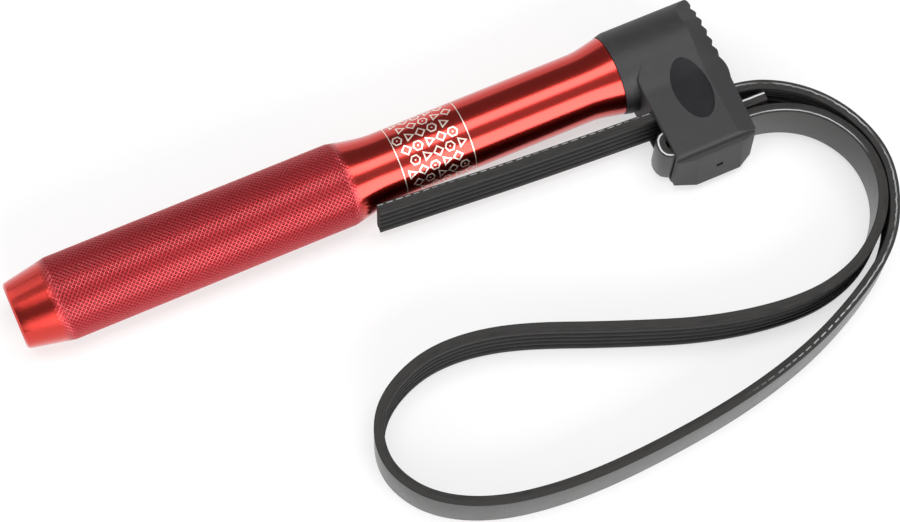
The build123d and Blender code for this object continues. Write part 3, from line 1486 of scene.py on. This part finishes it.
    def piece(self, name: str, run: Sequence[Station], cut: int = 0) -> bpy.types.Object:
        """Makes one piece of the belt, in its finishes.

        Args:
            name: Its name.
            run: Its stations.
            cut: -1 where its first end is the belt's cut end, 1 where its last end is.

        Returns:
            The piece.
        """
        shape = Shape(name)
        self.add_run(shape, run)
        if cut:
            self.add_cord_ends(shape, run[0] if cut < 0 else run[-1], cut)
        finishes = [self.rib_finish, self.back_finish, self.edge_finish, self.cord_and_sheen_finish]
        return shape.made(finishes, self.crease)

    def share_kept(self, run: Sequence[Station]) -> float:
        """Share of the loop's length along the handle that is left when the tail is drawn out.

        Args:
            run: The loop's stations.

        Returns:
            The share at which the loop has given the tail what the tail has gained.
        """

        def length(share: float) -> float:
            """Length of the loop when it is squashed to a share."""
            flat = [Vector((station.at.x * share, station.at.y)) for station in run]
            return sum((after - before).length for before, after in zip(flat, flat[1:]))

        wanted = length(1.0) - self.draw
        low, high = self.least_share, 1.0
        for _ in range(self.halvings):
            share = (low + high) / 2
            if length(share) < wanted:
                low = share
            else:
                high = share
        return share

    def build(self) -> list[bpy.types.Object]:
        """Builds and dresses the tail, the loop and the fold.

        Returns:
            The three pieces.
        """
        stations = self.stations()
        hidden = [n for n, s in enumerate(stations) if s.at.x < self.hidden_at]
        leaves = next(n for n in range(len(stations)) if stations[n].at.x > self.hidden_at)
        turn = next(n for n in hidden if n > leaves and stations[n].at.y > self.fold_from)
        tail_run, loop_run = stations[: leaves + 1], stations[leaves : turn + 1]
        fold_run = stations[turn:]

        tail = self.piece("strap_tail_belt", tail_run, cut=-1)
        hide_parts("strap_tail")
        whole = tail_run[0].at
        SEAT.place(self.mouth_left, whole.y)
        SEAT.place(whole.x + self.end_length, whole.y)
        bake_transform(tail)

        loop = self.piece("strap_loop_belt", loop_run)
        settle(loop, Body.TOOL, ["strap_loop"])
        SEAT.place(self.mouth_right, 0.0)
        self.share_kept(loop_run)
        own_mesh(loop)

        fold = self.piece("strap_fold_belt", fold_run, cut=1)
        settle(fold, Body.TOOL, ["strap_fold"])
        log.info("the belt is %.0f mm long", stations[-1].along / MM)
        return [tail, loop, fold]


@dataclass
class HeadAndFastening:
    """The moulded head with the stud and the insert inside it, which keep their CAD shapes."""

    head_finish: Finish
    stud_finish: Finish
    insert_finish: Finish

    def dress(self) -> list[bpy.types.Object]:
        """Gives each CAD solid its finish.

        Returns:
            The three pieces.
        """
        pieces = []
        for node, finish, slot in (
            ("head_body", self.head_finish, Slot.PLASTIC),
            ("joining_stud", self.stud_finish, Slot.ZINC),
            ("threaded_insert", self.insert_finish, Slot.BRASS),
        ):
            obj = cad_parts[node]
            obj.data.materials.clear()
            obj.data.materials.append(finish.material())
            pieces.append(obj)
        return pieces


@dataclass(frozen=True)
class SoftBox:
    """A soft box or pale panel that faces the tool."""

    name: str
    middle: Point
    length: float
    width: float
    brightness: float
    aim: Point = (0.0, 0.03, 0.01)

    def hang(self) -> None:
        """Hangs the lamp."""
        lamp = bpy.data.lights.new(self.name, "AREA")
        lamp.shape = "RECTANGLE"
        lamp.size = self.length
        lamp.size_y = self.width
        lamp.energy = self.brightness * math.pi * self.length * self.width
        obj = bpy.data.objects.new(self.name, lamp)
        obj.location = self.middle
        away = Vector(self.middle) - Vector(self.aim)
        across = Vector((1.0, 0.0, 0.0))
        up = away.cross(across).normalized()
        across = up.cross(away).normalized()
        turn = Matrix((across, up, away.normalized())).transposed()
        obj.rotation_euler = turn.to_euler()
        bpy.context.scene.collection.objects.link(obj)


@dataclass
class Studio:
    """White table, dim room, two long soft boxes and the pale panels round them."""

    room: float = 0.20
    table_half: float = 4.0
    paint: Colour = (0.97, 0.97, 0.97)
    white: Colour = (1.0, 1.0, 1.0)
    white_share: float = 0.58
    mirrored_share: float = 0.5
    boxes: tuple[SoftBox, ...] = (
        SoftBox("overhead_box", (0.12, 0.02, 1.20), 1.30, 0.53, 4.8),
        SoftBox("front_box", (0.12, -1.05, 0.42), 1.30, 0.88, 4.8),
        SoftBox("between_boxes", (0.12, -0.52, 1.05), 1.30, 0.50, 0.2),
        SoftBox("backdrop", (0.12, 1.70, 0.28), 2.60, 0.56, 0.7),
        SoftBox("overhead_left", (-0.76, 0.44, 1.14), 0.44, 0.74, 0.56),
        SoftBox("front_left", (-0.76, -1.04, 0.36), 0.44, 0.40, 0.60),
        SoftBox("back_left", (-0.70, 1.02, 0.76), 0.50, 0.78, 1.15),
        SoftBox("left_panel", (-1.35, -0.15, 0.50), 0.90, 0.60, 2.6),
    )

    def lay_table(self) -> None:
        """Lays the white table under the tool. It keeps the tool's shadow."""
        mesh = bpy.data.meshes.new("table")
        half = self.table_half
        corners = [(-half, -half, 0.0), (half, -half, 0.0), (half, half, 0.0), (-half, half, 0.0)]
        mesh.from_pydata(corners, [], [(0, 1, 2, 3)])
        table = bpy.data.objects.new("table", mesh)
        bpy.context.scene.collection.objects.link(table)
        material = bpy.data.materials.new("white_table")
        material.use_nodes = True
        shading = Shading(material.node_tree)
        paint = shading.node("ShaderNodeBsdfDiffuse", {}, {"Color": self.paint})
        white = shading.node("ShaderNodeEmission", {}, {"Color": self.white})
        shading.either(self.seen(shading), paint, white)
        mesh.materials.append(material)

    def seen(self, shading: Shading) -> Value:
        """Share of plain white in what the camera sees, directly, mirrored or through glass.

        Args:
            shading: The table's nodes.

        Returns:
            The share.
        """
        path = shading.raw("ShaderNodeLightPath", {}, {})
        straight, mirrored, through = (
            Value(shading, path.outputs[name])
            for name in ("Is Camera Ray", "Is Glossy Ray", "Is Transmission Ray")
        )
        return (straight.larger(through) * self.white_share).larger(
            mirrored * self.mirrored_share
        )

    def fill_room(self) -> None:
        """Lights the room dimly and evenly."""
        world = bpy.data.worlds.new("room")
        world.use_nodes = True
        shading = Shading(world.node_tree)
        air = shading.node(
            "ShaderNodeBackground", {}, {"Color": self.white, "Strength": self.room}
        )
        shading.raw("ShaderNodeOutputWorld", {}, {"Surface": air})
        bpy.context.scene.world = world

    def build(self) -> None:
        """Builds the table, the room and the lamps."""
        self.lay_table()
        self.fill_room()
        for box in self.boxes:
            box.hang()
        bpy.context.scene.view_settings.view_transform = "Standard"


@dataclass(frozen=True)
class ViewPoint:
    """The camera at the photograph's viewing angle."""

    eye: Point = (-151.485 * MM, -304.195 * MM, 808.33 * MM)
    target: Point = (-3.163 * MM, 23.532 * MM, 0.37 * MM)
    lens: float = 101.57
    sensor_width: float = 36.0
    clip: Flat = (0.01, 20.0)

    def build(self) -> None:
        """Makes the camera."""
        data = bpy.data.cameras.new("camera")
        data.lens = self.lens
        data.sensor_width = self.sensor_width
        data.clip_start, data.clip_end = self.clip
        camera = bpy.data.objects.new("camera", data)
        camera.location = self.eye
        ahead = Vector(self.target) - Vector(self.eye)
        camera.rotation_euler = ahead.to_track_quat("-Z", "Y").to_euler()
        bpy.context.scene.collection.objects.link(camera)
        bpy.context.scene.camera = camera


def main() -> None:
    """Builds the scene piece by piece."""
    logging.basicConfig(level=logging.INFO, format="%(name)s: %(message)s")
    ViewPoint().build()
    Studio().build()
    handle = Handle(AnodisedRed()).build()
    marking = WaistPrint(BareMetal()).build()
    head = HeadAndFastening(
        MouldedPlastic(),
        PlainMetal("zinc_plate", (0.62, 0.63, 0.66), 0.32),
        PlainMetal("turned_brass", (0.78, 0.58, 0.28), 0.28),
    ).dress()
    strap = Belt(
        rib_finish=BeltRubber(),
        back_finish=BeltRubber(
            "belt_back",
            base=(0.018, 0.018, 0.017),
            dusty=(0.034, 0.033, 0.031),
            roughness=0.30,
            streaks=0.35,
            grain_depth=0.02 * MM,
            gloss=0.42,
        ),
        edge_finish=BeltRubber(
            "belt_edge",
            base=(0.018, 0.017, 0.017),
            dusty=(0.036, 0.034, 0.032),
            roughness=0.70,
            streaks=0.8,
            grain_depth=0.1 * MM,
        ),
        cord_and_sheen_finish=CordAndSheenLine(),
    ).build()
    for piece in (handle, marking, *head, *strap):
        log.info("%s has %d faces", piece.name, len(piece.data.polygons))


if __name__ == "__main__":
    main()
